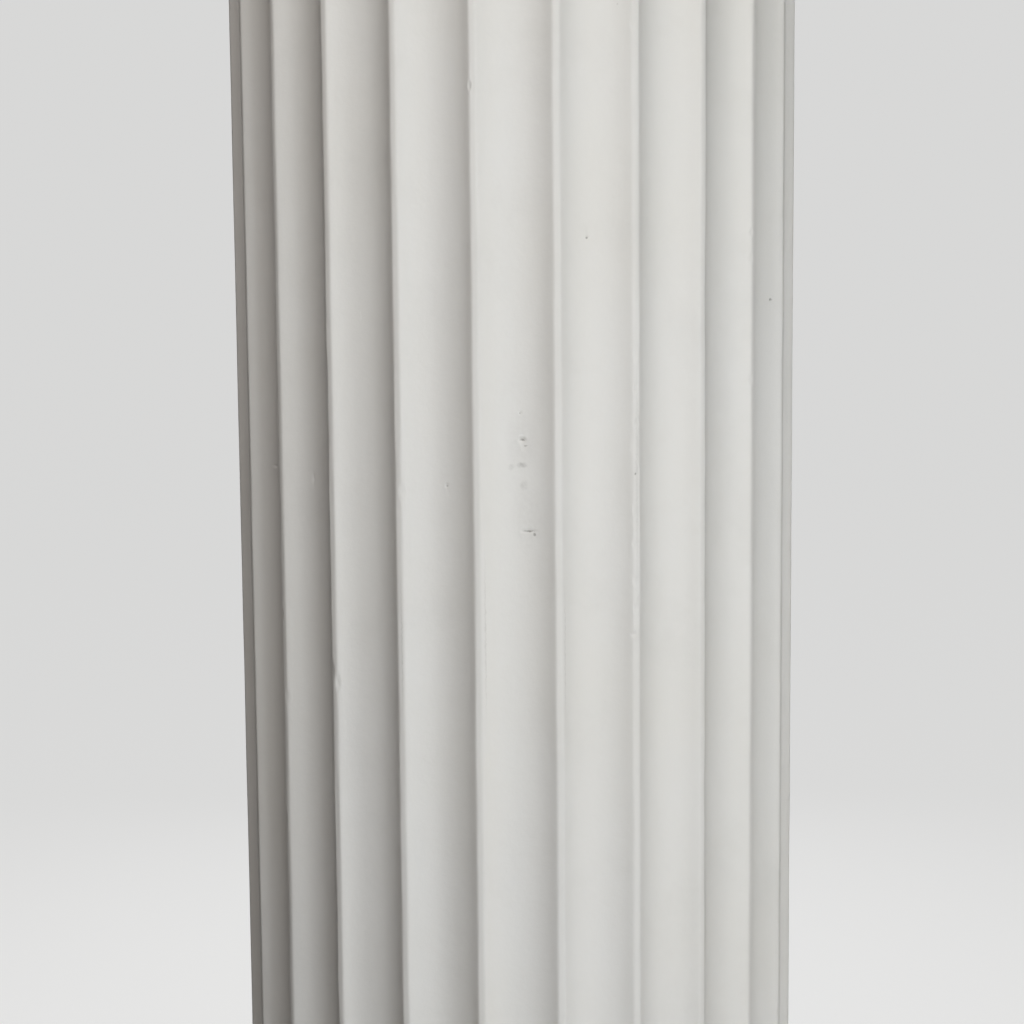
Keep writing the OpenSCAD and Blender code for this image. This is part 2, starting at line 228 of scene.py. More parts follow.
class Shop:  # one material on the bench
    def __init__(self, name):
        self.material = bpy.data.materials.new(name)
        self.material.use_nodes = True
        self.tree = self.material.node_tree
        self.shader = self.tree.nodes["Principled BSDF"]
        self.place = self.node("ShaderNodeTexCoord", {}, {}, "Object")

    def node(self, kind, settings, values, output=0):
        made = self.tree.nodes.new(kind)
        for key, value in settings.items():
            if key == "stops":
                self.setStops(made.color_ramp, value)
            else:
                setattr(made, key, value)
        pairs = values.items() if isinstance(values, dict) else enumerate(values)
        for key, value in pairs:
            self.join(made.inputs[key], value)
        return Wire(self, made.outputs[output])

    def join(self, socket, value):
        if isinstance(value, Wire):
            self.tree.links.new(value.socket, socket)
        else:
            socket.default_value = value

    def setStops(self, ramp, stops):
        while len(ramp.elements) < len(stops):
            ramp.elements.new(0.5)
        for element, (at, level) in zip(ramp.elements, stops):
            element.position = at
            element.color = (level, level, level, 1)

    def stretched(self, size):
        return self.node("ShaderNodeMapping", {}, {"Vector": self.place, "Scale": size})

    def cloud(self, scale, detail=3.0, rough=0.5, place=None, twist=0.0):
        values = {"Vector": place or self.place, "Scale": scale, "Detail": detail,
                  "Roughness": rough, "Distortion": twist}
        return self.node("ShaderNodeTexNoise", {}, values)

    def cells(self, scale, place=None):
        return self.node("ShaderNodeTexVoronoi", {}, {"Vector": place or self.place, "Scale": scale})

    def ramp(self, wire, *stops):
        return self.node("ShaderNodeValToRGB", {"stops": stops}, {"Fac": wire})

    def blend(self, mask, low, high):
        return self.node("ShaderNodeMix", {"data_type": "RGBA"}, {0: mask, 6: low, 7: high}, 2)

    def warped(self, scale, reach):  # the place, shaken by a noise, so that edges come out ragged
        noisy = {"Vector": self.place, "Scale": scale, "Detail": 3.0}
        shake = self.node("ShaderNodeTexNoise", {}, noisy, "Color")
        centred = self.node("ShaderNodeVectorMath", {"operation": "SUBTRACT"}, [shake, (0.5, 0.5, 0.5)])
        small = self.node("ShaderNodeVectorMath", {"operation": "SCALE"}, {0: centred, "Scale": reach})
        return self.node("ShaderNodeVectorMath", {"operation": "ADD"}, [self.place, small])

    def blot(self, place, centre, turn, halfSizes):  # 1 within an oval that faces outwards, fading to 0
        values = {"Vector": place, "Location": centre, "Rotation": (0, 0, turn), "Scale": halfSizes}
        local = self.node("ShaderNodeMapping", {"vector_type": "TEXTURE"}, values)
        away = self.node("ShaderNodeVectorMath", {"operation": "LENGTH"}, [local], "Value")
        return self.ramp(away, (0.45, 1), (1.0, 0))

    def upOf(self, wire):
        return self.node("ShaderNodeSeparateXYZ", {}, [wire], "Z")

    def heights(self, *layers):  # (height, depth in metres) pairs, one bump over the other
        normal = None
        for height, depth in layers:
            values = {"Height": height, "Distance": depth, "Strength": 1.0}
            if normal:
                values["Normal"] = normal
            normal = self.node("ShaderNodeBump", {}, values)
        self.join(self.shader.inputs["Normal"], normal)

    def finish(self, **sockets):
        names = {"colour": "Base Color", "rough": "Roughness", "metal": "Metallic",
                 "gloss": "Specular IOR Level", "sheen": "Sheen Weight", "sheenRough": "Sheen Roughness"}
        for key, value in sockets.items():
            self.join(self.shader.inputs[names[key]], value)
        return self.material


def colour(r, g, b):
    return (r, g, b, 1)


plasterPaint = {
    "white": colour(0.80, 0.797, 0.785),
    "warm": colour(0.77, 0.757, 0.72),
    "dirt": colour(0.16, 0.15, 0.13),
    "bare": colour(0.88, 0.88, 0.87),
    "rough": 0.62,
    "roughSpread": 0.12,
    "gloss": 0.35,
    "mottle": (7, 4, 0.55),  # scale, detail and roughness of each noise
    "brush": (60, 4, 0.6),
    "brushPull": 0.06,
    "haze": (22, 5, 0.65),
    "roller": (900, 3, 0.6),
    "grain": (260, 2, 0.5),
    "speckle": (480, 3, 0.7),
    "scuff": (26, 5, 0.7),
    "pinholeCells": 90,
    "pinholeCloud": (31, 1),
    "raggedScale": 520,
    "raggedReach": 1.6 * mm,
    "markRadius": 145 * mm,  # how far the shaft's marks lie from its axis
    "soak": 14 * mm,
    "depths": {"mottle": 1.2 * mm, "grain": 0.10 * mm, "roller": 0.05 * mm, "pinhole": 0.25 * mm},
}

# grime in and round the damage: azimuth from the front, height, half width, half height, strength
shaftGrime = {
    "dent": (1.0, 0.6000, 1.5 * mm, 0.75 * mm, 0.85),
    "dentTail": (1.6, 0.5975, 0.8 * mm, 0.6 * mm, 0.5),
    "nick": (2.1, 0.5560, 3.3 * mm, 0.55 * mm, 0.75),
    "nickHook": (3.2, 0.5545, 0.8 * mm, 1.1 * mm, 0.6),
    "speckHigh": (13.9, 0.6960, 0.8 * mm, 0.8 * mm, 0.9),
    "speckMiddle": (0.6, 0.6130, 0.7 * mm, 0.6 * mm, 0.5),
    "speckLeft": (-13.9, 0.5780, 0.7 * mm, 0.7 * mm, 0.45),
    "speckOnArris": (22.3, 0.5830, 0.8 * mm, 0.9 * mm, 0.7),
    "speckRight": (64.8, 0.6650, 1.0 * mm, 0.7 * mm, 0.7),
    "smudge": (0.9, 0.5880, 3.2 * mm, 1.5 * mm, 0.30),
    "smudgeLow": (1.2, 0.5780, 2.2 * mm, 3.0 * mm, 0.16),
    "smudgeSide": (-1.2, 0.5870, 2.0 * mm, 2.0 * mm, 0.14),
    "cloudHigh": (0.8, 0.5990, 9.0 * mm, 16.0 * mm, 0.07),
    "cloudLow": (1.6, 0.5640, 8.0 * mm, 22.0 * mm, 0.06),
    "dragLeft": (-22.3, 0.5000, 0.45 * mm, 42.0 * mm, 0.16),
    "dragMiddle": (-6.2, 0.5060, 0.45 * mm, 46.0 * mm, 0.14),
    "dragRight": (8.6, 0.4980, 0.45 * mm, 38.0 * mm, 0.14),
    "rubbedArris": (22.6, 0.5800, 0.9 * mm, 66.0 * mm, 0.12),
}
# pale scratches, the same way
shaftScratches = {
    "left": (-60.8, 0.5820, 2.6 * mm, 0.5 * mm, 0.8),
    "inner": (-45.9, 0.5780, 0.6 * mm, 2.2 * mm, 0.7),
    "middle": (-32.0, 0.6600, 0.5 * mm, 3.5 * mm, 0.4),
    "dentRim": (0.9, 0.6022, 1.6 * mm, 0.6 * mm, 0.5),
}


def makePlasterPaint(name, grime=None, scratches=None, scuffs=0.0):
    shop = Shop(name)
    p = plasterPaint
    mottle = shop.cloud(*p["mottle"])
    patches = shop.ramp(mottle, (0.35, 0), (0.7, 1))
    paint = shop.blend(patches * 0.5, p["white"], p["warm"])
    brush = shop.cloud(*p["brush"], shop.stretched((1, 1, p["brushPull"])))
    paint = shop.blend(shop.ramp(brush, (0.5, 0), (0.75, 1)) * 0.16, paint, p["warm"])
    haze = shop.ramp(shop.cloud(*p["haze"]), (0.52, 0), (0.78, 1))
    paint = shop.blend(haze * 0.05, paint, p["dirt"])
    near = shop.ramp(shop.cells(p["pinholeCells"]), (0.02, 1), (0.045, 0))
    chosen = shop.ramp(shop.cloud(*p["pinholeCloud"]), (0.66, 0), (0.70, 1))
    pinholes = near * chosen
    paint = shop.blend(pinholes * 0.5, paint, p["dirt"])
    roller = shop.cloud(*p["roller"])
    grain = shop.cloud(*p["grain"])
    ragged = shop.warped(p["raggedScale"], p["raggedReach"])
    speckle = shop.ramp(shop.cloud(*p["speckle"]), (0.3, 0.35), (0.62, 1))

    def blots(marks):
        total = None
        for azimuth, height, halfWide, halfTall, strength in marks.values():
            side = math.radians(azimuth)
            centre = (p["markRadius"] * math.sin(side), -p["markRadius"] * math.cos(side), height)
            blot = shop.blot(ragged, centre, side, (halfWide, p["soak"], halfTall)) * strength
            total = blot if total is None else total + blot
        return total

    if grime:
        paint = shop.blend(blots(grime) * speckle, paint, p["dirt"])
    if scratches:
        paint = shop.blend(blots(scratches), paint, p["bare"])
    if scuffs:  # shoes and mops leave grey marks near the floor
        low = shop.ramp(shop.upOf(shop.place) / scuffs, (0.1, 1), (1.0, 0))
        dragged = shop.cloud(*p["scuff"], shop.stretched((0.5, 0.5, 2.2)))
        rubbed = shop.ramp(dragged, (0.5, 0), (0.72, 1))
        paint = shop.blend(low * rubbed * 0.2, paint, p["dirt"])
    depths = p["depths"]
    shop.heights((mottle, depths["mottle"]), (grain, depths["grain"]), (roller, depths["roller"]),
                 (1 - pinholes, depths["pinhole"]))
    return shop.finish(colour=paint, rough=p["rough"] + p["roughSpread"] * grain, gloss=p["gloss"])


timberTones = {
    "plyLight": colour(0.72, 0.58, 0.40),
    "plyDark": colour(0.52, 0.38, 0.23),
    "plyCore": colour(0.64, 0.49, 0.31),
    "ply": 1.5 * mm,
    "pine": colour(0.73, 0.53, 0.30),
    "pineLate": colour(0.52, 0.31, 0.14),
}


def makePlywood():
    shop = Shop("birchPlywood")
    grain = shop.cloud(30, 5, 0.6, shop.stretched((0.25, 4, 1)), 0.4)
    figure = shop.cloud(6, 3, 0.5, shop.stretched((0.3, 2, 1)), 1.2)
    face = shop.blend(grain * 0.6 + figure * 0.4, timberTones["plyDark"], timberTones["plyLight"])
    layer = shop.upOf(shop.place) / (2 * timberTones["ply"])
    odd = shop.node("ShaderNodeMath", {"operation": "FRACT"}, [layer]) > 0.5
    fibre = shop.cloud(420, 3, 0.6)
    edge = shop.blend(odd * 0.7 + fibre * 0.3, timberTones["plyDark"], timberTones["plyCore"])
    normal = shop.node("ShaderNodeNewGeometry", {}, {}, "Normal")
    isFace = shop.node("ShaderNodeMath", {"operation": "ABSOLUTE"}, [shop.upOf(normal)]) > 0.5
    shop.heights((grain, 0.12 * mm), (odd * (1 - isFace), 0.08 * mm), (fibre, 0.05 * mm))
    return shop.finish(colour=shop.blend(isFace, edge, face), rough=0.55 + 0.2 * grain, gloss=0.3)


def makeTimber(name, along):  # along: 0, 1 or 2, the way the grain runs
    shop = Shop(name)
    squeeze = [9.0, 9.0, 9.0]
    squeeze[along] = 0.5
    stretched = shop.stretched(squeeze)
    bend = shop.cloud(1.1, 2, 0.5, stretched)
    rings = shop.node("ShaderNodeMath", {"operation": "FRACT"}, [bend * 14])
    late = shop.ramp(rings, (0.0, 0), (0.75, 0.35), (0.95, 1))
    pores = shop.cloud(34, 4, 0.65, stretched)
    knots = shop.ramp(shop.cells(5, place=stretched), (0.03, 1), (0.09, 0))
    wood = shop.blend(late * 0.75 + pores * 0.2, timberTones["pine"], timberTones["pineLate"])
    wood = shop.blend(knots * 0.5, wood, timberTones["pineLate"])
    shop.heights((late, 0.10 * mm), (pores, 0.10 * mm))
    return shop.finish(colour=wood, rough=0.6 + 0.2 * pores, gloss=0.3)


metalTones = {
    "zinc": colour(0.62, 0.64, 0.66),
    "zincCool": colour(0.52, 0.56, 0.62),
    "zincRust": colour(0.40, 0.30, 0.20),
    "iron": colour(0.055, 0.055, 0.06),
    "ironDust": colour(0.11, 0.085, 0.065),
}


def makeZinc():
    shop = Shop("zincPlate")
    bloom = shop.cloud(120, 3, 0.6)
    spangle = shop.cells(300)
    cool = shop.ramp(bloom, (0.4, 0), (0.65, 1))
    tint = shop.blend(cool, metalTones["zinc"], metalTones["zincCool"])
    stain = shop.ramp(shop.cloud(45, 4, 0.6), (0.62, 0), (0.75, 1))
    tint = shop.blend(stain * 0.35, tint, metalTones["zincRust"])
    shop.heights((spangle, 0.03 * mm), (shop.cloud(900, 2), 0.02 * mm))
    return shop.finish(colour=tint, rough=0.30 + 0.22 * bloom, metal=1.0, gloss=0.5)


def makeIron():
    shop = Shop("castIron")
    sand = shop.cloud(300, 4, 0.7)
    pits = shop.ramp(shop.cells(160), (0.05, 0), (0.3, 1))
    dust = shop.ramp(shop.cloud(14, 4, 0.6), (0.5, 0), (0.75, 1))
    shop.heights((sand, 0.5 * mm), (pits, 0.25 * mm))
    tint = shop.blend(dust * 0.6 + sand * 0.2, metalTones["iron"], metalTones["ironDust"])
    return shop.finish(colour=tint, rough=0.6 + 0.25 * sand, metal=0.35, gloss=0.4)


softTones = {
    "felt": colour(0.13, 0.135, 0.13),
    "feltLight": colour(0.24, 0.245, 0.235),
    "nylon": colour(0.022, 0.022, 0.024),
    "rubber": colour(0.017, 0.017, 0.017),
    "dust": colour(0.12, 0.115, 0.105),
}


def makeFelt():
    shop = Shop("woolFelt")
    hairs = shop.cloud(900, 5, 0.75, twist=1.5)
    lumps = shop.cloud(140, 3)
    light = shop.ramp(hairs, (0.35, 0), (0.7, 1))
    wool = shop.blend(light, softTones["felt"], softTones["feltLight"])
    shop.heights((lumps, 0.4 * mm), (hairs, 0.5 * mm))
    return shop.finish(colour=wool, rough=0.95, gloss=0.1, sheen=0.5, sheenRough=0.5)


def makeMoulded(name, tone, rough, dusty):
    shop = Shop(name)
    grain = shop.cloud(1200, 2)
    dust = shop.ramp(shop.cloud(60, 4, 0.6), (0.45, 0), (0.8, 1))
    shop.heights((grain, 0.04 * mm), (shop.cloud(90, 2), 0.15 * mm))
    tint = shop.blend(dust * dusty, tone, softTones["dust"])
    return shop.finish(colour=tint, rough=rough + 0.15 * dust, gloss=0.4)


camera = {
    "lens": 74.0,
    "sensor": 36,
    "from": (-0.007, -1.148, 0.68),
    "down": 6.5,
    "roll": -0.5,
    "yaw": -0.24,
}


def makeCamera():
    lens = bpy.data.cameras.new("camera")
    lens.lens = camera["lens"]
    lens.sensor_width = camera["sensor"]
    eye = bpy.data.objects.new("camera", lens)
    bpy.context.scene.collection.objects.link(eye)
    eye.location = camera["from"]
    eye.rotation_mode = "XYZ"
    down = math.radians(camera["down"])
    look = Vector((0, math.cos(down), -math.sin(down)))
    turn = look.to_track_quat("-Z", "Y").to_matrix()
    roll = turn @ turnAbout("Z", camera["roll"])
    eye.rotation_euler = (turnAbout("Z", camera["yaw"]) @ roll).to_euler()
    bpy.context.scene.camera = eye


def turnAbout(axis, degrees):
    return Matrix.Rotation(math.radians(degrees), 3, axis)


studio = {
    "floor": 6.0,
    "sides": 96,
    "cove": 2.0,
    "pale": colour(0.17, 0.17, 0.169),
    "glow": colour(0.68, 0.68, 0.675),
    "paleDark": colour(0.145, 0.145, 0.144),
    "coveSteps": 10,
    "smoothUnder": 60,
    "wall": 9.0,
    "air": colour(0.9, 0.95, 1.0),
    "ambient": 0.012,
}

# azimuth from the camera's side (+ to the right), distance, width, height, middle height, power, tint
lamps = {
    "farLeft": (-36, 1.4, 0.35, 0.50, 1.50, 0.72, (1.0, 0.72, 0.60)),
    "highLeft": (-24, 1.4, 0.35, 0.50, 1.50, 5.9, (1.0, 0.965, 0.925)),
    "front": (0, 1.4, 0.35, 0.50, 1.05, 2.0, (1.0, 0.93, 0.82)),
    "rightLow": (12, 1.4, 0.35, 0.50, 0.60, 1.5, (0.74, 0.83, 1.0)),
    "rightHigh": (12, 1.4, 0.35, 0.50, 1.05, 1.6, (1.0, 0.98, 0.84)),
    "right": (24, 1.4, 0.35, 0.50, 0.60, 4.1, (0.94, 0.98, 1.0)),
    "lowRight": (48, 1.4, 0.35, 0.50, 0.15, 3.5, (0.99, 1.0, 0.995)),
    "edge": (72, 1.4, 0.35, 0.50, 0.15, 1.4, (1.0, 0.84, 0.66)),
    "overhead": (20, 0.2, 1.40, 1.40, 2.60, 9.0, (1.0, 0.99, 0.97)),
    "back": (180, 1.6, 1.10, 1.20, 1.00, 9.0, (0.98, 0.98, 1.0)),
    "bounce": (0, 0.1, 2.00, 2.00, -1.30, 4.5, (1.0, 0.99, 0.98)),
}
lampRules = {"aim": 0.55, "behind": 90, "backSpread": 110}


def makeFloor():
    restAll()
    bpy.ops.mesh.primitive_circle_add(vertices=studio["sides"], radius=studio["floor"], fill_type="NGON")
    floor = added("studioFloor")
    editAll()
    cove = studio["cove"]
    steps = studio["coveSteps"]
    for step in range(steps):  # the floor turns up into a wall all round
        low, high = (math.pi / 2 * (step + k) / steps for k in (0, 1))
        before = studio["floor"] + cove * math.sin(low)
        after = studio["floor"] + cove * math.sin(high)
        pickRim()
        bpy.ops.mesh.extrude_edges_move()
        bpy.ops.transform.resize(value=(after / before, after / before, 1))
        bpy.ops.transform.translate(value=(0, 0, cove * (math.cos(low) - math.cos(high))))
    pickRim()
    extrudeUp(studio["wall"])
    bpy.ops.mesh.select_all(action="SELECT")
    bpy.ops.mesh.normals_make_consistent(inside=True)
    leave()
    smooth(floor, studio["smoothUnder"])
    floor.data.materials.append(makePaper())
    floor.visible_diffuse = False
    floor.visible_glossy = False
    floor.visible_shadow = False  # a lamp underneath stands in for the light that a pale floor throws up


def makePaper():  # pale, with a glow of its own, and clear from underneath
    shop = Shop("palePaper")
    grain = shop.cloud(3, 2)
    fibres = shop.cloud(400, 3)
    paper = shop.blend(grain * 0.2 + fibres * 0.1, studio["pale"], studio["paleDark"])
    shop.finish(colour=paper, rough=0.9, gloss=0.1)
    shop.join(shop.shader.inputs["Emission Color"], studio["glow"])
    shop.join(shop.shader.inputs["Emission Strength"], 1.0)
    below = shop.node("ShaderNodeNewGeometry", {}, {}, "Backfacing")
    clear = shop.node("ShaderNodeBsdfTransparent", {}, {})
    lit = Wire(shop, shop.shader.outputs[0])
    mixed = shop.node("ShaderNodeMixShader", {}, {0: below, 1: lit, 2: clear})
    shop.join(shop.tree.nodes["Material Output"].inputs["Surface"], mixed)
    return shop.material


def makeAir():
    world = bpy.data.worlds.new("studioAir")
    world.use_nodes = True
    tree = world.node_tree
    air = tree.nodes["Background"]
    air.inputs["Color"].default_value = studio["air"]
    air.inputs["Strength"].default_value = studio["ambient"]
    haze = tree.nodes.new("ShaderNodeBackground")
    haze.inputs["Color"].default_value = studio["glow"]
    seen = tree.nodes.new("ShaderNodeLightPath")
    choose = tree.nodes.new("ShaderNodeMixShader")  # past the floor's rim the air looks like the paper
    tree.links.new(seen.outputs["Is Camera Ray"], choose.inputs[0])
    tree.links.new(air.outputs[0], choose.inputs[1])
    tree.links.new(haze.outputs[0], choose.inputs[2])
    tree.links.new(choose.outputs[0], tree.nodes["World Output"].inputs["Surface"])
    bpy.context.scene.world = world


def makeLamps():
    for name, (azimuth, distance, width, height, middle, power, tint) in lamps.items():
        lamp = bpy.data.lights.new(name, "AREA")
        lamp.shape = "RECTANGLE"
        lamp.size = width
        lamp.size_y = height
        lamp.energy = power
        lamp.color = tint
        holder = bpy.data.objects.new(name, lamp)
        bpy.context.scene.collection.objects.link(holder)
        side = math.radians(azimuth)
        holder.location = (distance * math.sin(side), -distance * math.cos(side), middle)
        aim = Vector((0, 0, lampRules["aim"])) - holder.location
        holder.rotation_euler = aim.to_track_quat("-Z", "Y").to_euler()
        holder.visible_camera = False
        if abs(azimuth) > lampRules["behind"]:  # fades towards its sides, so no line shows on the floor
            lamp.spread = math.radians(lampRules["backSpread"])


shaftSizes = {
    "flutes": 24,
    "landShare": 0.1,
    "fluteDepth": 8.4 * mm,
    "wall": 15.6 * mm,
    "fillet": 10 * mm,
    "margin": 12 * mm,
    "seam": 0.1 * mm,
    "arrisRound": 1.4 * mm,
    "edgeRound": 0.5 * mm,
    "rowStep": 5.5 * mm,
    "flareRows": 6,
    "endRows": 14,
    "fluteColumns": 10,
    "landColumns": (0.14, 0.36, 0.64, 1.0),
    "narrowest": 0.3,  # share of a flute's columns left where it runs out
    "smoothUnder": 40,
}
# slow wandering of a hand finished casting: how much, and the scale of its noise
shaftSway = {
    "sideways": 0.30 * mm,
    "sidewaysScale": 3,
    "inwards": 0.12 * mm,
    "inwardsScale": 4,
    "arris": 0.5,
    "arrisScale": 9,
    "upScale": 6,
}

# small damage: azimuth from the front, height, half width, half height, depth
shaftMarks = {
    "dent": (1.0, 0.600, 1.5 * mm, 1.1 * mm, 0.9 * mm),
    "nick": (2.1, 0.556, 3.2 * mm, 0.7 * mm, 0.6 * mm),
    "speckHigh": (13.9, 0.696, 0.8 * mm, 0.8 * mm, 0.5 * mm),
    "speckMiddle": (0.6, 0.613, 0.8 * mm, 0.7 * mm, 0.4 * mm),
    "scratchLeft": (-60.8, 0.582, 2.8 * mm, 0.7 * mm, 0.35 * mm),
    "scratchInner": (-45.9, 0.578, 0.8 * mm, 2.4 * mm, 0.35 * mm),
    "speckLeft": (-13.9, 0.578, 0.8 * mm, 0.9 * mm, 0.4 * mm),
    "speckRight": (64.8, 0.665, 0.9 * mm, 0.9 * mm, 0.5 * mm),
}
# the arris that people brush past, and a scatter of small chips on the others
arrisWear = {
    "rubbed": 22.3,
    "rubbedSpread": 0.5,
    "rubbedHeights": (0.641, 0.624, 0.607, 0.596, 0.583, 0.566, 0.549, 0.531, 0.517),
    "scatter": 26,
    "scatterLands": (-5, 6),
    "scatterHeights": (0.26, 0.88),
    "offArris": 0.6,
    "seed": 11,
    "halfWide": (0.6 * mm, 1.1 * mm),
    "halfTall": (1.4 * mm, 3.4 * mm),
    "depth": (0.25 * mm, 0.6 * mm),
}


def allMarks(facing):
    dice = random.Random(arrisWear["seed"] + facing)
    marks = list(shaftMarks.values())

    def size():
        return tuple(dice.uniform(*arrisWear[key]) for key in ("halfWide", "halfTall", "depth"))

    for height in arrisWear["rubbedHeights"]:
        azimuth = arrisWear["rubbed"] + dice.uniform(-arrisWear["rubbedSpread"], arrisWear["rubbedSpread"])
        marks.append((azimuth, height, *size()))
    aside = arrisWear["offArris"]
    for k in range(arrisWear["scatter"]):
        land = 360 / shaftSizes["flutes"] * (dice.randrange(*arrisWear["scatterLands"]) + 0.5)
        azimuth = land + dice.choice((-aside, aside))
        marks.append((azimuth, dice.uniform(*arrisWear["scatterHeights"]), *size()))
    return marks


def smoothLess(a, b, soft):  # the lesser, with the corner between them rounded off
    near = max(soft - abs(a - b), 0) / soft
    return min(a, b) - near * near * soft / 4


class Shaft:
    def __init__(self, node):
        low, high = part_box(node)
        s = shaftSizes
        self.low = low.z
        self.height = high.z - low.z
        self.radius = high.x - s["fillet"]
        self.pitch = 2 * math.pi / s["flutes"]
        self.edge = self.pitch * (1 - s["landShare"]) / 2
        half = self.radius * math.sin(self.edge)
        sag = s["fluteDepth"] - self.radius * (1 - math.cos(self.edge))
        self.cutter = (half * half + sag * sag) / (2 * sag)
        self.cutterAt = self.radius - s["fluteDepth"] + self.cutter
        self.endAt = 2 * s["fillet"] + s["margin"] + half
        self.endReach = math.sqrt(self.cutter ** 2 - (self.cutterAt - self.radius) ** 2)
        self.core = self.radius - s["fluteDepth"] - s["wall"]

    def fromEnd(self, z):
        return min(z, self.height - z)

    def plain(self, z):  # fillet and flare, without flutes
        fillet = shaftSizes["fillet"]
        end = self.fromEnd(z)
        if end <= fillet:
            corner = shaftSizes["edgeRound"]
            cut = max(corner - end, corner - (fillet - end), 0)
            return self.radius + fillet - cut
        if end < 2 * fillet:
            return self.radius + fillet - math.sqrt(fillet ** 2 - (2 * fillet - end) ** 2)
        return self.radius

    def surface(self, angle, z, soft):  # angle from the middle of a flute
        outer = self.plain(z)
        into = max(self.endAt - self.fromEnd(z), 0)
        reach = self.cutter ** 2 - into ** 2
        across = self.cutterAt * math.sin(angle)
        if reach <= across ** 2:
            return outer
        cut = self.cutterAt * math.cos(angle) - math.sqrt(reach - across ** 2)
        return smoothLess(outer, cut, soft)

    def narrow(self, z):  # how far the columns close in as a flute runs out
        least = shaftSizes["narrowest"]
        into = max(self.endAt - self.fromEnd(z), 0) / self.endReach
        if into < 1:
            return max(math.sqrt(1 - into ** 2), least)
        return least + (1 - least) * min((into - 1) * 3, 1)

    def rows(self):
        fillet = shaftSizes["fillet"]
        corner = shaftSizes["edgeRound"]
        flares = shaftSizes["flareRows"]
        count = shaftSizes["endRows"]
        ends = [0, corner, fillet / 2, fillet - corner]
        ends += [2 * fillet - fillet * math.cos(math.radians(90 * k / flares + 3)) for k in range(flares)]
        first = self.endAt - self.endReach
        ends += [2 * fillet + (first - 2 * fillet) * k / 3 for k in (0, 1, 2)]
        turns = (math.radians(90 * k / count) for k in range(count + 1))
        ends += [self.endAt - self.endReach * math.cos(turn) for turn in turns]
        middle = self.height - 2 * self.endAt
        steps = round(middle / shaftSizes["rowStep"])
        rows = ends + [self.endAt + middle * k / steps for k in range(1, steps)]
        return rows + [self.height - z for z in reversed(ends)]

    def columns(self):  # share of half a pitch, from the middle of a flute to the middle of a land
        count = shaftSizes["fluteColumns"]
        flute = [("flute", math.sin(math.pi / 2 * k / count)) for k in range(count + 1)]
        half = flute + [("land", share) for share in shaftSizes["landColumns"]]
        whole = [(kind, share, 0) for kind, share in half]
        whole += [(kind, -share, 1) for kind, share in reversed(half[:-1])]
        return whole

    def columnAngle(self, column, z):
        kind, share, following = column
        side = -1 if following else 1
        edge = self.edge * self.narrow(z)
        if kind == "flute":
            return following * self.pitch + share * edge
        return following * self.pitch + side * (edge + abs(share) * (self.pitch / 2 - edge))


def makeShaftHalf(name, node, turn):
    shaft = Shaft(node)
    sway = shaftSway
    rows = shaft.rows()
    pattern = shaft.columns()[:-1]
    across = [(flute, column) for flute in range(shaftSizes["flutes"] // 2) for column in pattern]
    across.append((shaftSizes["flutes"] // 2, shaft.columns()[0]))
    restAll()
    bpy.ops.mesh.primitive_grid_add(x_subdivisions=len(across) - 1, y_subdivisions=len(rows) - 1, size=1)
    piece = added(name)
    edit()

    def wrap(point):
        flute, column = across[round((point.x + 0.5) * (len(across) - 1))]
        z = rows[round((point.y + 0.5) * (len(rows) - 1))]
        angle = shaft.columnAngle(column, z)
        around = turn + math.pi + flute * shaft.pitch + angle
        compass = Vector((math.cos(around), math.sin(around), (shaft.low + z) * sway["upScale"]))
        calm = min(shaft.fromEnd(z) / shaft.endAt, 1)
        aside = noise.noise(compass * sway["sidewaysScale"]) * sway["sideways"] / shaft.radius * calm
        worn = 1 + sway["arris"] * noise.noise(compass * sway["arrisScale"])
        inPitch = (angle + shaft.pitch / 2) % shaft.pitch - shaft.pitch / 2
        radius = shaft.surface(inPitch + aside, z, shaftSizes["arrisRound"] * worn)
        radius -= sway["inwards"] * (1 + noise.noise(compass * sway["inwardsScale"])) * calm
        spot = Vector((radius * math.cos(around), radius * math.sin(around), shaft.low + z))
        if (flute, column) in (across[0], across[-1]):
            spot.y = math.copysign(shaftSizes["seam"], -math.cos(turn))
        return spot

    def inward(point):
        return Vector((point.x, point.y, 0)).normalized() * shaft.core + Vector((0, 0, point.z))

    reshape(wrap)
    dentShaft(shaft, turn)
    # the inner side: rim, bore and rim again, then the two seams
    pickRim(shaft.low)
    bpy.ops.mesh.extrude_edges_move()
    reshape(inward, True)
    extrudeUp(shaft.height)
    pickRim(shaft.low + shaft.height)
    bpy.ops.mesh.bridge_edge_loops()
    pickRim()
    bpy.ops.mesh.edge_face_add()
    closeUp()
    smooth(piece, shaftSizes["smoothUnder"])
    return piece


# how a mark is pressed in; the mesh is made finer round it first
dentShape = {
    "reach": 2.2,  # of the finer mesh, in half sizes of the mark
    "moreAcross": 1.2 * mm,
    "moreUp": 1.5 * mm,
    "inset": 0.97,
    "search": 15 * mm,
    "patches": (1.0, 0.55),
    "cuts": 2,
    "ragged": 0.3,
    "raggedScale": 700,
    "limit": 3,
    "rim": 0.16,
    "rimAt": 1.7,
    "rimTightness": 2.2,
}


